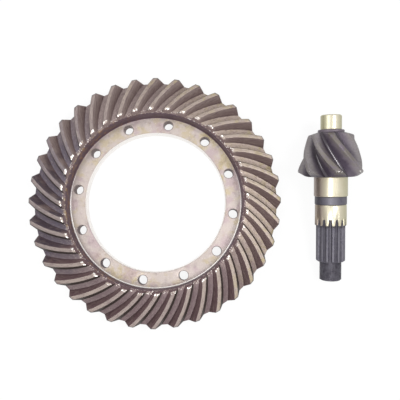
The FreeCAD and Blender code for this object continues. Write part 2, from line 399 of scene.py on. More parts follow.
@dataclass(frozen=True)
class RingSpot:
    """Where a point of the ring's surface lies, and the noises that break up its wear, stains and painted
    light.
    """

    graph: Graph
    place: Signal
    across: Signal
    along: Signal
    height: Signal
    radius: Signal
    upward: Signal
    under_tip: Signal
    over_root: Signal
    beside_land: Signal
    toothed: Signal
    patches: Signal
    blotches: Signal
    specks: Signal
    grain: Signal

    def toward(self, angle: float) -> Signal:
        """How far a point lies towards one side of the ring, with uneven bounds.

        Args:
            angle: The side, as an angle round the ring.

        Returns:
            From -1 on the far side to 1 on that side.
        """
        cosine = math.cos(math.radians(angle))
        sine = math.sin(math.radians(angle))
        uneven = (self.patches - 0.5) * (0.5 * (cosine + sine))
        return (self.across * cosine + self.along * sine) / self.radius + uneven

    def sector(self, angle: float, start: float, end: float) -> Signal:
        """Mask of one side of the ring, which grows from start to end towards an angle."""
        return self.graph.fade(self.toward(angle), start, end)

    def left_side(self) -> Signal:
        """Mask of the left side, where the teeth are painted darker and bluer as in shade."""
        return self.sector(174.3, 0.547, 0.975)


@dataclass
class RingGear:
    """The ring gear: a turned and drilled body with spiral teeth on its upper side."""

    node: bpy.types.Object
    bore_radius: float
    bolt_circle_radius: float
    bolt_radius: float
    bolt_count: int
    outer_radius: float
    tip_height: float = 37.5 * MILLIMETRE
    tooth_depth: float = 17.8 * MILLIMETRE
    face_length: float = 52.3 * MILLIMETRE
    tip_slope: float = 11.5
    root_slope: float = 20.0
    steep_flank: float = 12.5
    tooth_count: int = 36
    spiral_turn: float = 12.7
    land_phase: float = -0.1
    land_width: float = 5.4 * MILLIMETRE
    spiral_cosine: float = 0.83
    bolt_phase: float = 21.1
    bolt_face_height: float = 17.7 * MILLIMETRE
    bolt_face_radius: float = 134.6 * MILLIMETRE
    toe_bevel: float = 2.2 * MILLIMETRE
    # How far the painted shade reaches past the steep flank's foot onto the root
    corner_shade_width: float = 0.7 * MILLIMETRE
    # Width of the band of darker patches by the wall round the bolt face
    wall_band_width: float = 7.0 * MILLIMETRE
    mark_width: float = 1.5 * MILLIMETRE
    turning_pitch: float = 0.8 * MILLIMETRE
    grain_depth: float = 0.05 * MILLIMETRE
    edge_rounding: float = 0.35 * MILLIMETRE
    sharp_angle: float = 24.0

    @property
    def toe_radius(self) -> float:
        """Radius of the inner ends of the teeth."""
        return self.outer_radius - self.face_length

    def build(self) -> bpy.types.Object:
        """Shapes and dresses the ring.

        Returns:
            The ring's piece.
        """
        piece = merged_copy(self.node, "ring_gear_steel")
        round_edges(piece, self.edge_rounding, self.sharp_angle)
        piece.data.materials.clear()
        piece.data.materials.append(self.steel())
        return piece

    def steel(self) -> bpy.types.Material:
        """Lays the ring's finishes, from the dark skin of the teeth to the machined faces.

        Returns:
            The ring's material.
        """
        material, graph = new_material("ring_steel")
        spot = self.spot(graph)
        skin = Skin(graph, PHOSPHATE)
        self.dress_flanks(skin, spot)
        self.dress_roots_and_lands(skin, spot)
        self.dress_grooves(skin, spot)
        self.dress_wall(skin, spot)
        self.dress_tooth_ends(skin, spot)
        self.dress_bolt_face(skin, spot)
        self.dress_bore(skin, spot)
        turning = graph.noise(graph.joined(spot.radius), self.turning_pitch, detail=2.0)
        relief = spot.grain + self.faced(spot) * (turning - spot.grain) * 0.8
        skin.roughness = skin.roughness + (spot.grain - 0.5) * 0.25
        skin.shade(relief, self.grain_depth)
        return material

    def spot(self, graph: Graph) -> RingSpot:
        """Works out the places and noises that the finishes follow.

        Args:
            graph: The material's graph.

        Returns:
            The places and noises.
        """
        place = graph.node("ShaderNodeTexCoord", {}, {}, "Object")
        across, along, height = graph.parts(place)
        radius = (across * across + along * along) ** 0.5
        inward = self.outer_radius - radius
        tip = self.tip_height + inward * slope(self.tip_slope)
        root = self.tip_height - self.tooth_depth + inward * slope(self.root_slope)
        return RingSpot(
            graph=graph,
            place=place,
            across=across,
            along=along,
            height=height,
            radius=radius,
            upward=graph.parts(graph.node("ShaderNodeNewGeometry", {}, {}, "Normal"))[2],
            under_tip=tip - height,
            over_root=height - root,
            beside_land=self.beside_land(graph, across, along, radius),
            toothed=graph.above(radius, self.toe_radius - 2 * MILLIMETRE, 1 * MILLIMETRE),
            patches=graph.noise(place, 30 * MILLIMETRE),
            blotches=graph.noise(place, 9 * MILLIMETRE, detail=4.0, shift=3.0),
            specks=graph.noise(place, 2.2 * MILLIMETRE, shift=11.0),
            grain=graph.noise(place, 1.2 * MILLIMETRE, shift=7.0),
        )

    def dress_flanks(self, skin: Skin, spot: RingSpot) -> None:
        """Lays the flanks with painted light and shade: lighter at the rear and the right, near black at
        the left, a painted sheen midway up and painted shade on the steep flanks.

        Args:
            skin: The layers so far.
            spot: The places on the surface.
        """
        graph = spot.graph
        toothed = spot.toothed
        flank_height = spot.over_root / (spot.over_root + spot.under_tip)
        # Painted light: flanks paler towards the rear, in specks, and paler still higher up the flank there
        pale = spot.sector(119.9, -0.199, 0.797)
        skin.lay(PALE_FLANK, pale * 0.75 + (spot.specks - 0.5) * 0.5)
        skin.lay(FLANK_PAINTED_LIGHT, pale * toothed * graph.fade(flank_height, 0.10, 0.85) * 0.75)
        # Painted light: paler flanks at the right
        skin.lay(PALE_FLANK, spot.sector(15.0, 0.448, 0.946) * toothed * 0.6)
        # Painted shade: near-black bluish flanks at the left
        skin.tint(BLUE_BLACK, spot.sector(185.1, 0.857, 0.996) * toothed * 0.8)
        # Painted sheen: a paler band midway up the flanks, broken up in blotches
        sheen = graph.between(flank_height, 0.30, 0.62, 0.2) * graph.fade(spot.blotches, 0.35, 0.65)
        skin.tint(PALE_FLANK.colour, toothed * sheen * 0.45)
        # Painted shade on the steep flanks, strongest near the root and weaker near the tip
        steep = toothed * graph.below(spot.upward, 0.65, 0.10)
        low = steep * graph.fade(flank_height, 0.30, 0.02)
        high = steep * graph.fade(flank_height, 0.80, 0.97)
        skin.lay(FLANK_PAINTED_SHADE, low * 0.8 + high * 0.4)

    def dress_roots_and_lands(self, skin: Skin, spot: RingSpot) -> None:
        """Lays the roots and the lands with painted light and shade that change round the ring, then olive
        stains and dark specks.

        Args:
            skin: The layers so far.
            spot: The places on the surface.
        """
        graph = spot.graph
        # Masks of the sides of the ring, for painted light at the right and painted shade at the left
        right_light = spot.sector(19.9, 0.25, 0.85)
        right_light_wide = spot.sector(19.9, -0.3, 0.9)
        left_side = spot.left_side()
        rooted = graph.below(spot.over_root, 0.6 * MILLIMETRE, 0.3 * MILLIMETRE)
        rooted = rooted * spot.toothed * graph.above(spot.upward, 0.7, 0.1)
        skin.lay(ROOT_GREY, rooted)
        # Painted light and shade on the roots: mauve and darker at the bottom, tan at the right, bluish
        # dark at the left
        skin.lay(ROOT_MAUVE, rooted * spot.sector(282.5, -0.108, 0.651))
        skin.lay(ROOT_TAN, rooted * right_light)
        skin.tint(BLUE_CAST, rooted * left_side * 0.85)
        skin.tint(PHOSPHATE.colour, rooted * spot.sector(281.3, 0.490, 0.932) * 0.45)

        land = graph.below(spot.under_tip, 0.375 * MILLIMETRE, 0.175 * MILLIMETRE)
        land = land * spot.toothed * graph.above(spot.upward, 0.8, 0.1)
        skin.lay(DULL_LAND, land)
        # Painted light and shade on the lands: tan at the right and lower left, bluish dark at the left,
        # duller at the top
        skin.lay(TOOTH_TAN, land * right_light_wide)
        skin.tint(BLUE_CAST, land * left_side * 0.55)
        skin.lay(DULL_LAND, land * spot.sector(90.0, 0.4, 1.0) * 0.35)
        skin.lay(TOOTH_TAN, land * spot.sector(209.9, 0.598, 0.997) * 0.4)

        outward = graph.fade(spot.radius, self.toe_radius + 12 * MILLIMETRE, self.outer_radius)
        stained = (land + rooted * right_light) * graph.fade(spot.blotches, 0.42, 0.66)
        skin.tint(OLIVE_STAIN, stained * (outward * 0.6 + 0.25) * right_light_wide)
        skin.tint(PHOSPHATE.colour, (land + rooted) * graph.fade(spot.specks, 0.58, 0.70) * 0.4)

    def dress_grooves(self, skin: Skin, spot: RingSpot) -> None:
        """Adds fine marks along the teeth, and painted shade on the steep flanks and in the corners at
        their feet.

        Args:
            skin: The layers so far.
            spot: The places on the surface.
        """
        graph = spot.graph
        drift = spot.radius * 0.05 + spot.toward(0.0) * 0.02
        marks = graph.noise(graph.joined(spot.beside_land, spot.height, drift), self.mark_width)
        skin.tint(PHOSPHATE.colour, spot.toothed * graph.fade(marks, 0.51, 0.64) * 0.45)
        skin.tint(TOOTH_TAN.colour, spot.toothed * graph.fade(marks, 0.46, 0.34) * 0.25)

        # Painted shade: a dark strip over each steep flank and the corner at its foot
        half_land = self.land_width / 2
        foot = (spot.over_root + spot.under_tip) * slope(self.steep_flank) + (half_land + self.corner_shade_width)
        groove = graph.above(spot.beside_land, half_land, 0.3 * MILLIMETRE)
        groove = groove * graph.below(spot.beside_land - foot, 0.0, 0.5 * MILLIMETRE)
        groove = groove * graph.above(spot.over_root, -0.5 * MILLIMETRE, 0.3 * MILLIMETRE)
        skin.lay(GROOVE_PAINTED_SHADE, groove * spot.toothed * 0.95)

    def dress_wall(self, skin: Skin, spot: RingSpot) -> None:
        """Lays the wall round the bolt face, with rust at the left and oil on its upper edge.

        Args:
            skin: The layers so far.
            spot: The places on the surface.
        """
        graph = spot.graph
        wall_end = self.toe_radius - 2 * MILLIMETRE
        wall = graph.between(spot.radius, self.bolt_face_radius, wall_end, 0.4 * MILLIMETRE)
        wall = wall * graph.above(spot.height, self.bolt_face_height - 0.5 * MILLIMETRE, 0.5 * MILLIMETRE)
        wall = wall * graph.below(spot.over_root, 0.0, 0.5 * MILLIMETRE)
        skin.lay(WALL_SKIN, wall)
        rusty = spot.sector(180.0, 0.0, 0.8) * graph.fade(spot.blotches, 0.50, 0.64)
        skin.tint(RUST, wall * rusty * 0.6)
        ledge = graph.above(spot.over_root, -1.5 * MILLIMETRE, 1.0 * MILLIMETRE)
        ledge = wall * ledge * graph.fade(spot.blotches, 0.46, 0.60)
        skin.tint(OIL_STAIN, ledge * (spot.left_side() * 0.4 + 0.15))

    def dress_tooth_ends(self, skin: Skin, spot: RingSpot) -> None:
        """Makes the bevels at the teeth's inner ends bare bright metal in spots, painted near white as
        highlights, paints glints at the roots' inner ends, and darkens the outer ends.

        Args:
            skin: The layers so far.
            spot: The places on the surface.
        """
        graph = spot.graph
        toe = self.toe_radius
        facet = graph.between(spot.radius, toe - 1.2 * MILLIMETRE, toe + self.toe_bevel, 0.3 * MILLIMETRE)
        facet = facet * graph.below(spot.under_tip, 2.0 * MILLIMETRE, 0.3 * MILLIMETRE)
        facet = facet * graph.fade(spot.upward, 0.45, 0.6)
        # Bare bright metal on the bevels, painted near white in spots as the highlights they catch
        bright_spots = spot.specks + (spot.patches - 0.5) * 0.15
        skin.lay(TOOTH_TAN, facet * (graph.fade(spot.blotches, 0.36, 0.52) * 0.7 + 0.3))
        skin.lay(BRIGHT_EDGE, facet * graph.fade(bright_spots, 0.51, 0.60))

        # Painted highlights: tan and white glints at the inner ends of the roots
        root_end_glints = graph.between(spot.radius, toe - 6 * MILLIMETRE, toe + 0.5 * MILLIMETRE, 0.8 * MILLIMETRE)
        root_end_glints = root_end_glints * graph.below(abs(spot.over_root), 1.2 * MILLIMETRE, 0.4 * MILLIMETRE)
        skin.lay(TOOTH_TAN, root_end_glints * graph.fade(spot.specks, 0.49, 0.60) * 0.7)
        skin.lay(BRIGHT_EDGE, root_end_glints * graph.fade(spot.specks, 0.61, 0.67) * 0.6)

        heel = graph.above(spot.radius, self.outer_radius - 1.25 * MILLIMETRE, 0.75 * MILLIMETRE)
        skin.tint(HEEL_EDGE, spot.toothed * heel * 0.7)

    def faced(self, spot: RingSpot) -> Signal:
        """Mask of the machined bolt face."""
        inside = spot.graph.below(spot.radius, self.bolt_face_radius + 0.15 * MILLIMETRE, 0.15 * MILLIMETRE)
        return inside * spot.graph.fade(spot.upward, 0.6, 0.9)

    def dress_bolt_face(self, skin: Skin, spot: RingSpot) -> None:
        """Lays the machined bolt face with its oil and pink stains, darker patches by the wall, painted
        shade round the bolt holes and a painted highlight on its rim.

        Args:
            skin: The layers so far.
            spot: The places on the surface.
        """
        graph = spot.graph
        faced = self.faced(spot)
        clouds = graph.noise(spot.place, 16 * MILLIMETRE, detail=4.0, shift=5.0)
        skin.lay(TURNED_FACE, faced)
        skin.tint(OIL_STAIN, faced * graph.fade(clouds + spot.toward(90.0) * 0.05, 0.50, 0.68) * 0.5)
        oiled = spot.sector(34.8, 0.861, 1.001) + spot.sector(250.1, 0.88, 1.0)
        skin.tint(OIL_STAIN, faced * oiled * graph.fade(spot.blotches, 0.36, 0.58) * 0.6)
        skin.tint(PINK_STAIN, faced * graph.fade(spot.patches, 0.50, 0.38) * 0.65)
        skin.tint(WALL_SKIN.colour, faced * graph.fade(spot.blotches, 0.50, 0.76) * 0.30)
        skin.tint(BRIGHT_EDGE.colour, faced * graph.fade(spot.specks, 0.56, 0.70) * 0.15)

        # Darker grey in patches towards the wall
        by_wall = graph.fade(spot.radius, self.bolt_face_radius - self.wall_band_width, self.bolt_face_radius)
        by_wall = by_wall * graph.fade(spot.blotches + spot.toward(0.0) * 0.1, 0.56, 0.44)
        skin.tint(EDGE_GREY, faced * by_wall * 0.45)
        # Painted shade: a grey ring round the edge of each bolt hole
        hole_rim_shade = graph.below(self.from_bolt(spot), self.bolt_radius + 1.05 * MILLIMETRE, 0.45 * MILLIMETRE)
        skin.tint(EDGE_GREY, faced * hole_rim_shade * 0.85)

        # Painted highlight along the foot of the wall, strongest at the bottom and gone at the top
        rim_start = self.bolt_face_radius - 0.3 * MILLIMETRE
        rim = graph.between(spot.radius, rim_start, rim_start + 1.5 * MILLIMETRE, 0.3 * MILLIMETRE)
        rim = rim * graph.below(spot.height, self.bolt_face_height + 1.45 * MILLIMETRE, 0.25 * MILLIMETRE)
        skin.lay(BRIGHT_EDGE, rim * spot.sector(90.0, 0.5, -0.3) * 0.7)

    def dress_bore(self, skin: Skin, spot: RingSpot) -> None:
        """Lays the bright bore and the grey line round its edge.

        Args:
            skin: The layers so far.
            spot: The places on the surface.
        """
        graph = spot.graph
        bored = graph.below(spot.radius, self.bore_radius + 1.1 * MILLIMETRE, 0.2 * MILLIMETRE)
        skin.lay(BORE_METAL, bored)
        lip_start = self.bore_radius + 0.8 * MILLIMETRE
        lip = graph.between(spot.radius, lip_start, lip_start + 1.2 * MILLIMETRE, 0.4 * MILLIMETRE)
        skin.tint(EDGE_GREY, lip * 0.30)

    def beside_land(self, graph: Graph, across: Signal, along: Signal, radius: Signal) -> Signal:
        """Distance from the middle line of the nearest land, positive on its steep side.

        Args:
            graph: The material's graph.
            across: The place along X.
            along: The place along Y.
            radius: The distance from the axis.

        Returns:
            The distance, square to the tooth's spiral.
        """
        pitch = math.tau / self.tooth_count
        turn_rate = math.radians(self.spiral_turn) / self.face_length
        angle = graph.maths("ARCTAN2", along, across) - math.radians(self.land_phase)
        teeth = (angle - (self.outer_radius - radius) * turn_rate) / pitch
        return (teeth - graph.maths("ROUND", teeth)) * radius * (pitch * self.spiral_cosine)

    def from_bolt(self, spot: RingSpot) -> Signal:
        """Works out how far a point lies from the nearest bolt hole.

        Args:
            spot: The places on the surface.

        Returns:
            The distance from the hole's axis.
        """
        graph = spot.graph
        pitch = math.tau / self.bolt_count
        angle = graph.maths("ARCTAN2", spot.along, spot.across) - math.radians(self.bolt_phase)
        turned = angle - graph.maths("ROUND", angle / pitch) * pitch
        inward = spot.radius * graph.maths("COSINE", turned) - self.bolt_circle_radius
        beside = spot.radius * graph.maths("SINE", turned)
        return (inward * inward + beside * beside) ** 0.5


@dataclass(frozen=True)
class PinionSpot:
    """Where a point of the pinion's surface lies, and the noises that break up its wear, stains and painted
    light.
    """

    graph: Graph
    station: Signal
    radius: Signal
    beside_land: Signal
    sideways: Signal
    patches: Signal
    blotches: Signal
    specks: Signal
    grain: Signal
    streaks: Signal


@dataclass
class Pinion:
    """The pinion: a shaft with a spiral toothed head, ground seats, a spline and a threaded end."""

    node: bpy.types.Object
    seat_middle: Vector
    heading: Vector
    seat_length: float
    seat_bevel: float = 0.8 * MILLIMETRE
    back_length: float = 7.4 * MILLIMETRE
    face_length: float = 55.8 * MILLIMETRE
    toe_drop: float = 4.2 * MILLIMETRE
    collar_length: float = 3.7 * MILLIMETRE
    pilot_length: float = 22.3 * MILLIMETRE
    band_length: float = 12.6 * MILLIMETRE
    outer_seat_length: float = 31.0 * MILLIMETRE
    spline_length: float = 56.5 * MILLIMETRE
    stub_length: float = 29.5 * MILLIMETRE
    heel_radius: float = 50.0 * MILLIMETRE
    tip_slope: float = 15.7
    tooth_count: int = 7
    spiral_turn: float = 65.3
    land_phase: float = -88.95
    steep_foot: float = 14.5
    shallow_foot: float = 27.5
    spline_radius: float = 21.9 * MILLIMETRE
    stub_radius: float = 16.5 * MILLIMETRE
    thread_pitch: float = 1.5 * MILLIMETRE
    thread_depth: float = 0.81 * MILLIMETRE
    thread_relief: float = 2.4 * MILLIMETRE
    thread_lead_in: float = 1.1 * MILLIMETRE
    thread_steps: int = 64
    core_gap: float = 0.3 * MILLIMETRE
    face_edge: float = 0.15 * MILLIMETRE
    streak_width: float = 1.6 * MILLIMETRE
    turning_pitch: float = 0.6 * MILLIMETRE
    grain_depth: float = 0.04 * MILLIMETRE
    edge_rounding: float = 0.35 * MILLIMETRE
    sharp_angle: float = 24.0
    heel: Vector = field(init=False)
    stations: dict[str, float] = field(init=False)

    def __post_init__(self) -> None:
        """Works out the heel point and the stations of the shoulders along the axis."""
        full_seat = self.seat_length + 2 * self.seat_bevel
        inner_end = -self.back_length - full_seat
        middle = -self.back_length - full_seat / 2
        self.heel = self.seat_middle - self.heading * middle
        band_end = inner_end - self.band_length
        outer_end = band_end - self.outer_seat_length
        spline_end = outer_end - self.spline_length
        toe = self.face_length + self.toe_drop
        self.stations = {
            "stub_end": spline_end - self.stub_length,
            "spline_end": spline_end,
            "outer_end": outer_end,
            "band_end": band_end,
            "inner_end": inner_end,
            "back": -self.back_length,
            "toe": toe,
            "collar_end": toe + self.collar_length,
            "pilot_end": toe + self.collar_length + self.pilot_length,
        }

    def build(self) -> bpy.types.Object:
        """Shapes and dresses the pinion, with its thread.

        Returns:
            The pinion's piece.
        """
        piece = merged_copy(self.node, "pinion_steel")
        self.thin_stub(piece)
        round_edges(piece, self.edge_rounding, self.sharp_angle)
        thread = self.thread()
        alone(piece)
        thread.select_set(True)
        bpy.ops.object.join()
        piece.data.materials.clear()
        piece.data.materials.append(self.steel())
        return piece

    def thin_stub(self, piece: bpy.types.Object) -> None:
        """Draws the plain end of the shaft in to a core, just under the roots of its thread.

        Args:
            piece: The pinion's piece.
        """
        near = 0.05 * MILLIMETRE
        core = self.stub_radius - self.thread_depth - self.core_gap
        for vertex in piece.data.vertices:
            station = (vertex.co - self.heel).dot(self.heading)
            on_axis = self.heel + self.heading * station
            off_axis = vertex.co - on_axis
            round_stub = abs(off_axis.length - self.stub_radius) < near
            if round_stub and station < self.stations["spline_end"] + near:
                vertex.co = on_axis + off_axis.normalized() * core

    def thread(self) -> bpy.types.Object:
        """Models the nut's thread: a ridge's outline, screwed along the stub and cut square at both ends.

        Returns:
            The thread's piece, in its place.
        """
        pitch = self.thread_pitch
        start = self.stations["stub_end"] + self.thread_lead_in
        end = self.stations["spline_end"] - self.thread_relief
        crest = pitch / 8
        root = pitch / 4
        flank = (pitch - crest - root) / 2
        bpy.ops.object.select_all(action="DESELECT")
        bpy.ops.mesh.primitive_circle_add(vertices=3, location=(self.stub_radius, 0.0, start - pitch))
        piece = bpy.context.active_object
        piece.name = "pinion_thread"
        bpy.ops.object.transform_apply(location=True, rotation=True, scale=True)
        bpy.ops.object.mode_set(mode="EDIT")
        bpy.ops.mesh.select_all(action="SELECT")
        bpy.ops.mesh.merge(type="CENTER")
        steps = ((0.0, crest), (-self.thread_depth, flank), (0.0, root), (self.thread_depth, flank))
        for outward, onward in steps:
            bpy.ops.mesh.extrude_vertices_move(TRANSFORM_OT_translate={"value": (outward, 0.0, onward)})
        bpy.ops.object.mode_set(mode="OBJECT")
        screw = piece.modifiers.new("thread", "SCREW")
        screw.screw_offset = pitch
        screw.iterations = math.ceil((end - start) / pitch) + 2
        screw.steps = self.thread_steps
        screw.render_steps = self.thread_steps
        screw.use_merge_vertices = True
        screw.merge_threshold = 0.005 * MILLIMETRE
        bpy.ops.object.modifier_apply(modifier=screw.name)
        bpy.ops.object.mode_set(mode="EDIT")
        for height, outwards in ((start, -1.0), (end, 1.0)):
            bpy.ops.mesh.select_all(action="SELECT")
            plane = {"plane_co": (0, 0, height), "plane_no": (0, 0, outwards)}
            bpy.ops.mesh.bisect(use_fill=True, clear_outer=True, **plane)
        bpy.ops.mesh.select_all(action="SELECT")
        bpy.ops.mesh.remove_doubles(threshold=MERGE_DISTANCE)
        bpy.ops.mesh.fill_holes(sides=4)
        bpy.ops.mesh.normals_make_consistent(inside=False)
        bpy.ops.object.mode_set(mode="OBJECT")
        bpy.ops.object.shade_smooth_by_angle(angle=math.radians(self.sharp_angle))
        turn = self.heading.to_track_quat("Z", "Y").to_matrix().to_4x4()
        piece.data.transform(Matrix.Translation(self.heel) @ turn)
        return piece

    def beside_land(self, graph: Graph, beside: Signal, below: Signal, station: Signal) -> Signal:
        """Angle from the middle line of the nearest land, positive on its steep side.

        Args:
            graph: The material's graph.
            beside: The place across the shaft, level.
            below: The place across the shaft, downwards.
            station: The place along the shaft.

        Returns:
            The angle in degrees.
        """
        pitch = math.tau / self.tooth_count
        turn_rate = math.radians(self.spiral_turn) / self.face_length
        angle = graph.maths("ARCTAN2", below, beside) - math.radians(self.land_phase)
        teeth = (angle + station * turn_rate) / pitch
        return (teeth - graph.maths("ROUND", teeth)) * math.degrees(pitch)

    def spot(self, graph: Graph) -> PinionSpot:
        """Works out the places and noises that the finishes follow.

        Args:
            graph: The material's graph.

        Returns:
            The places and noises.
        """
        place = graph.node("ShaderNodeTexCoord", {}, {}, "Object")
        from_heel = graph.vector("SUBTRACT", place, tuple(self.heel))
        level = self.heading.cross(Vector((0, 0, 1))).normalized()
        station, beside, below = (
            graph.vector("DOT_PRODUCT", from_heel, tuple(axis), output="Value")
            for axis in (self.heading, level, self.heading.cross(level))
        )
        along = {0: tuple(self.heading), "Scale": station}
        on_axis = graph.node("ShaderNodeVectorMath", {"operation": "SCALE"}, along)
        radius = graph.vector("DISTANCE", from_heel, on_axis, output="Value")
        return PinionSpot(
            graph=graph,
            station=station,
            radius=radius,
            beside_land=self.beside_land(graph, beside, below, station),
            sideways=beside / radius,
            patches=graph.noise(place, 25 * MILLIMETRE),
            blotches=graph.noise(place, 7 * MILLIMETRE, detail=4.0, shift=3.0),
            specks=graph.noise(place, 2.2 * MILLIMETRE, shift=11.0),
            grain=graph.noise(place, 1.0 * MILLIMETRE, shift=7.0),
            streaks=graph.noise(graph.joined(beside, below, station * 0.06), self.streak_width),
        )

    def zone(self, spot: PinionSpot, start: str, end: str, past: float = 0.0) -> Signal:
        """Mask of the shaft between two of its shoulders.

        Args:
            spot: The places on the surface.
            start: Name of the lower shoulder's station.
            end: Name of the upper shoulder's station.
            past: How far the mask lies past both towards the pilot.

        Returns:
            The mask.
        """
        at = self.stations
        return spot.graph.between(spot.station, at[start] + past, at[end] + past, self.face_edge)

    def steel(self) -> bpy.types.Material:
        """Lays the pinion's finishes, from the shaft's skin to the ground seats.

        Returns:
            The pinion's material.
        """
        material, graph = new_material("pinion_steel")
        spot = self.spot(graph)
        skin = Skin(graph, SHAFT_SKIN)
        self.dress_shaft(skin, spot)
        self.dress_head(skin, spot)
        ground = self.dress_seats(skin, spot)
        turning = graph.noise(graph.joined(spot.station), self.turning_pitch, detail=2.0)
        relief = spot.grain + ground * (turning - spot.grain) * 0.9
        skin.roughness = skin.roughness + (spot.grain - 0.5) * 0.25
        skin.shade(relief, self.grain_depth)
        return material

    def dress_shaft(self, skin: Skin, spot: PinionSpot) -> None:
        """Lays the bluish skin of the spline, the threaded end and the band between the seats, with painted
        shade in the spline's grooves and run-outs, and a painted highlight down the band's middle with
        painted shade at its sides.

        Args:
            skin: The layers so far.
            spot: The places on the surface.
        """
        graph = spot.graph
        skin.tint(BLUE_CAST, graph.fade(spot.blotches, 0.45, 0.65) * 0.4)
        splined = self.zone(spot, "spline_end", "outer_end")
        crest = splined * graph.above(spot.radius, self.spline_radius - 0.4 * MILLIMETRE, 0.2 * MILLIMETRE)
        skin.tint(CREST_GREY, crest * graph.fade(spot.streaks, 0.40, 0.62) * 0.8)
        # Painted shade on the floors of the spline's grooves and over their run-outs
        floor = graph.below(spot.radius, self.spline_radius - 1.5 * MILLIMETRE, 0.7 * MILLIMETRE)
        skin.tint(SHADE_AND_MOTTLE, splined * floor * 0.25)
        start = self.stations["outer_end"] - 4 * MILLIMETRE
        run_out = graph.between(spot.station, start, start + 18 * MILLIMETRE, 3 * MILLIMETRE)
        skin.tint(SHADE_AND_MOTTLE, run_out * 0.6)

        stub = graph.below(spot.station, self.stations["spline_end"], self.face_edge)
        skin.tint(SHADE_AND_MOTTLE, stub * graph.fade(spot.blotches, 0.42, 0.62) * 0.45)
        skin.tint(CREST_GREY, stub * graph.fade(spot.streaks + spot.specks, 0.98, 1.16) * 0.6)

        band = self.zone(spot, "band_end", "inner_end")
        # Painted highlight down the band's middle and painted shade at its sides
        skin.tint(CREST_GREY, band * graph.fade(abs(spot.sideways + 0.15), 0.55, 0.10) * 0.7)
        skin.tint(SHADE_AND_MOTTLE, band * graph.fade(abs(spot.sideways), 0.60, 0.95) * 0.4)

    def dress_head(self, skin: Skin, spot: PinionSpot) -> None:
        """Lays the toothed head: olive lands, a painted sheen on its sides, painted shade in the gullies
        and painted highlights along them, on the land edges and at the heel corners.

        Args:
            skin: The layers so far.
            spot: The places on the surface.
        """
        graph = spot.graph
        from_land = abs(spot.beside_land)
        past = 2 * self.face_edge
        at = self.stations
        head = graph.between(spot.station, at["back"] - past, at["collar_end"] + past, self.face_edge)
        toothed = head * graph.below(spot.station, at["toe"], self.face_edge)
        under_tip = self.heel_radius - spot.station * slope(self.tip_slope) - spot.radius
        skin.lay(HEAD_SKIN, head)
        skin.tint(GULLY_PURPLE, toothed * graph.fade(spot.blotches + spot.specks, 1.02, 1.22) * 0.45)
        olive = graph.fade(from_land, 16.0, 4.0) * graph.fade(spot.blotches, 0.34, 0.56)
        skin.lay(OLIVE_LAND, toothed * olive * 0.75)
        # Painted sheen: the head is paler towards its sides
        speckled = graph.fade(spot.specks, 0.35, 0.60) * 0.35 + 0.45
        skin.tint(HEAD_SIDE_SHEEN, toothed * graph.fade(abs(spot.sideways), 0.35, 0.90) * speckled)

        # Painted shade, darker deeper in the gullies, and a painted glint along each of them
        root_end = 360.0 / self.tooth_count - self.shallow_foot
        gully = graph.between(spot.beside_land, self.steep_foot - 2.0, root_end + 1.0, 2.0)
        skin.tint(GULLY_PURPLE, toothed * graph.fade(under_tip, 4 * MILLIMETRE, 11 * MILLIMETRE) * 0.65)
        skin.tint(SHADE_AND_MOTTLE, toothed * gully * 0.75)
        glint = graph.between(spot.beside_land, root_end - 5.5, root_end - 4.1, 0.6)
        glint = glint * graph.between(spot.station, 6 * MILLIMETRE, 38 * MILLIMETRE, 8 * MILLIMETRE)
        skin.lay(GULLY_GLINT, toothed * glint * graph.fade(spot.patches, 0.38, 0.52) * 0.9)

        # Painted highlight along the land edges, broken up in streaks
        arris = graph.between(from_land, 4.9, 5.9, 0.4) * graph.fade(spot.streaks, 0.42, 0.60)
        skin.tint(CREST_GREY, toothed * arris * 0.5)
        # Painted highlights: white spots at the tips of the teeth by the heel
        heel_highlights = graph.between(spot.station, -1.0 * MILLIMETRE, 1.8 * MILLIMETRE, 0.4 * MILLIMETRE)
        heel_highlights = heel_highlights * graph.below(under_tip, 1.7 * MILLIMETRE, 0.5 * MILLIMETRE)
        skin.lay(BRIGHT_EDGE, heel_highlights * graph.fade(spot.specks, 0.54, 0.62))

    def dress_seats(self, skin: Skin, spot: PinionSpot) -> Signal:
        """Lays the three ground seats, with painted shade at their sides and in the corners at their
        shoulders.

        Args:
            skin: The layers so far.
            spot: The places on the surface.

        Returns:
            Mask of the seats.
        """
        graph = spot.graph
        past = 2 * self.face_edge
        uncut = graph.above(spot.radius, self.spline_radius + 1.0 * MILLIMETRE, 0.1 * MILLIMETRE)
        at = self.stations
        inner = graph.between(spot.station, at["inner_end"], at["back"] - past, self.face_edge)
        outer = self.zone(spot, "outer_end", "band_end") * uncut
        pilot = self.zone(spot, "collar_end", "pilot_end", past)
        ground = inner + outer + pilot
        skin.lay(GROUND_SEAT, ground)
        # Painted shade: the seats are darker and olive at both sides, and browner at the left
        skin.tint(SEAT_SIDE_SHADE, ground * graph.fade(abs(spot.sideways), 0.30, 0.90) * 0.85)
        skin.tint(SEAT_LEFT_SHADE, (inner + outer) * graph.fade(spot.sideways, -0.35, -0.90) * 0.85)
        skin.tint(OIL_STAIN, ground * graph.fade(spot.patches, 0.45, 0.75) * 0.35)

        # Painted shade in the corners at the shoulders
        half_line = 0.5 * MILLIMETRE
        shifts = {"inner_end": -0.4, "band_end": 0.4, "back": -0.3, "collar_end": 0.4}
        for shoulder, shift in shifts.items():
            middle = at[shoulder] + shift * MILLIMETRE
            corner = graph.between(spot.station, middle - half_line, middle + half_line, 0.2 * MILLIMETRE)
            skin.tint(SHADE_AND_MOTTLE, corner * 0.6)
        return ground


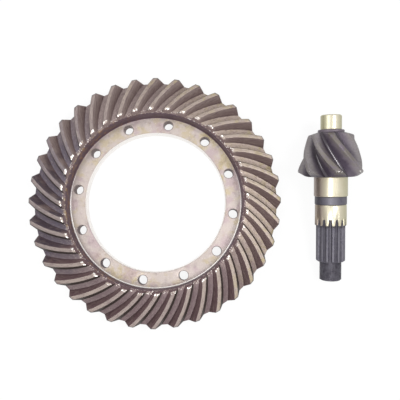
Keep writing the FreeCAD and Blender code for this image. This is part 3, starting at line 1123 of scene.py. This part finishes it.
@dataclass(frozen=True)
class Lamp:
    """A soft square lamp that looks at a point."""

    name: str
    place: tuple[float, float, float]
    target: tuple[float, float, float]
    size: float
    power: float

    def build(self) -> None:
        """Adds the lamp."""
        data = bpy.data.lights.new(self.name, "AREA")
        data.shape = "SQUARE"
        data.size = self.size
        data.energy = self.power
        lamp = bpy.data.objects.new(self.name, data)
        lamp.location = self.place
        away = Vector(self.place) - Vector(self.target)
        lamp.rotation_euler = away.to_track_quat("Z", "Y").to_euler()
        bpy.context.scene.collection.objects.link(lamp)


@dataclass(frozen=True)
class Studio:
    """White table, soft lamps and the camera that looks down on the set."""

    pivot_height: float = 17.7 * MILLIMETRE
    camera_right: float = 70.2 * MILLIMETRE
    camera_up: float = 2.5 * MILLIMETRE
    camera_distance: float = 781.8 * MILLIMETRE
    camera_tilt_x: float = -6.045
    camera_tilt_y: float = -0.647
    lens: float = 44.45
    sensor: float = 36.0
    floor_size: float = 12.0
    floor_white: float = 0.90
    floor_glow: float = 0.90
    world_light: float = 0.55
    lamps: tuple[Lamp, ...] = (
        Lamp("key", (0.70, 0.00, 1.25), (0.12, 0.0, 0.0), 0.50, 9.0),
        Lamp("front", (-0.10, -0.65, 1.25), (0.08, 0.0, 0.0), 0.60, 6.5),
        Lamp("fill", (-0.70, 0.60, 1.10), (0.08, 0.0, 0.0), 0.90, 7.5),
    )

    def camera(self) -> None:
        """Adds the camera in the photograph's place."""
        turn_x = Matrix.Rotation(math.radians(self.camera_tilt_x), 3, "X")
        turn_y = Matrix.Rotation(math.radians(self.camera_tilt_y), 3, "Y")
        to_world = (turn_x @ turn_y).transposed()
        offset = to_world @ Vector((self.camera_right, self.camera_up, self.camera_distance))
        data = bpy.data.cameras.new("camera")
        data.lens = self.lens
        data.sensor_width = self.sensor
        camera = bpy.data.objects.new("camera", data)
        place = offset + Vector((0, 0, self.pivot_height))
        camera.matrix_world = Matrix.Translation(place) @ to_world.to_4x4()
        bpy.context.scene.collection.objects.link(camera)
        bpy.context.scene.camera = camera

    @staticmethod
    def seen(graph: Graph) -> Signal:
        """Mask of the rays that the camera sends, also by way of a shiny surface.

        Args:
            graph: The graph of the floor or the world.

        Returns:
            The mask.
        """
        rays = graph.node("ShaderNodeLightPath", {}, {}, "Is Camera Ray").socket.node
        names = ("Is Camera Ray", "Is Glossy Ray", "Is Transmission Ray")
        straight, shiny, through = (Signal(graph, rays.outputs[name]) for name in names)
        return graph.maths("MAXIMUM", straight, graph.maths("MAXIMUM", shiny, through))

    def floor(self) -> None:
        """Adds the white table top, which keeps the pieces' shadows."""
        bpy.ops.object.select_all(action="DESELECT")
        bpy.ops.mesh.primitive_plane_add(size=self.floor_size)
        floor = bpy.context.active_object
        floor.name = "floor"
        material, graph = new_material("floor_white")
        matt = graph.node("ShaderNodeBsdfDiffuse", {}, {"Color": (self.floor_white,) * 3 + (1.0,)})
        glow = graph.node("ShaderNodeEmission", {}, {"Color": (1.0, 1.0, 1.0, 1.0), "Strength": 1.0})
        share = self.seen(graph) * self.floor_glow
        mixed = graph.node("ShaderNodeMixShader", {}, {0: share, 1: matt, 2: glow})
        graph.node("ShaderNodeOutputMaterial", {}, {"Surface": mixed})
        floor.data.materials.append(material)

    def world(self) -> None:
        """Sets an even white surround, dimmer as a light than as a background."""
        world = bpy.data.worlds.new("surround")
        world.use_nodes = True
        graph = Graph(world.node_tree)
        strength = self.seen(graph) * (1.0 - self.world_light) + self.world_light
        back = graph.node("ShaderNodeBackground", {}, {"Color": (1.0, 1.0, 1.0, 1.0), "Strength": strength})
        graph.node("ShaderNodeOutputWorld", {}, {"Surface": back})
        bpy.context.scene.world = world

    def build(self) -> None:
        """Adds everything round the set."""
        bpy.context.scene.view_settings.view_transform = "Standard"
        self.camera()
        self.floor()
        self.world()
        for lamp in self.lamps:
            lamp.build()


def mount(record: dict[str, Any], name: str) -> dict[str, Any]:
    """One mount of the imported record, by its name."""
    return next(entry for entry in record["mounts"] if entry["name"] == name)


def place_piece(piece: bpy.types.Object, role: Role) -> None:
    """Puts a finished piece in the frame in its CAD node's stead.

    Args:
        piece: The finished piece.
        role: The CAD node that it stands for.
    """
    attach(piece, "root")
    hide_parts(role.value)
    LOG.info("%s: %d faces", piece.name, len(piece.data.polygons))


def main() -> None:
    """Builds the set, its finishes and the studio."""
    logging.basicConfig(level=logging.INFO, format="%(name)s %(message)s")
    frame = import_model()
    record = frame["record"]
    bore = mount(record, "ring_bore")["dims"]
    bolts = mount(record, "ring_bolts")["dims"]
    seat = mount(record, "inner_bearing_seat")
    ring = RingGear(
        node=frame["nodes"][Role.RING.value],
        bore_radius=bore["r_mm"] * MILLIMETRE,
        bolt_circle_radius=bolts["pcd_mm"] / 2 * MILLIMETRE,
        bolt_radius=bolts["hole_r_mm"] * MILLIMETRE,
        bolt_count=bolts["count"],
        outer_radius=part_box(Role.RING.value)[1].x,
    )
    place_piece(ring.build(), Role.RING)
    pinion = Pinion(
        node=frame["nodes"][Role.PINION.value],
        seat_middle=Vector(seat["pos_m"]),
        heading=-Vector(seat["axis"]).normalized(),
        seat_length=seat["dims"]["length_mm"] * MILLIMETRE,
    )
    place_piece(pinion.build(), Role.PINION)
    Studio().build()


if __name__ == "__main__":
    main()
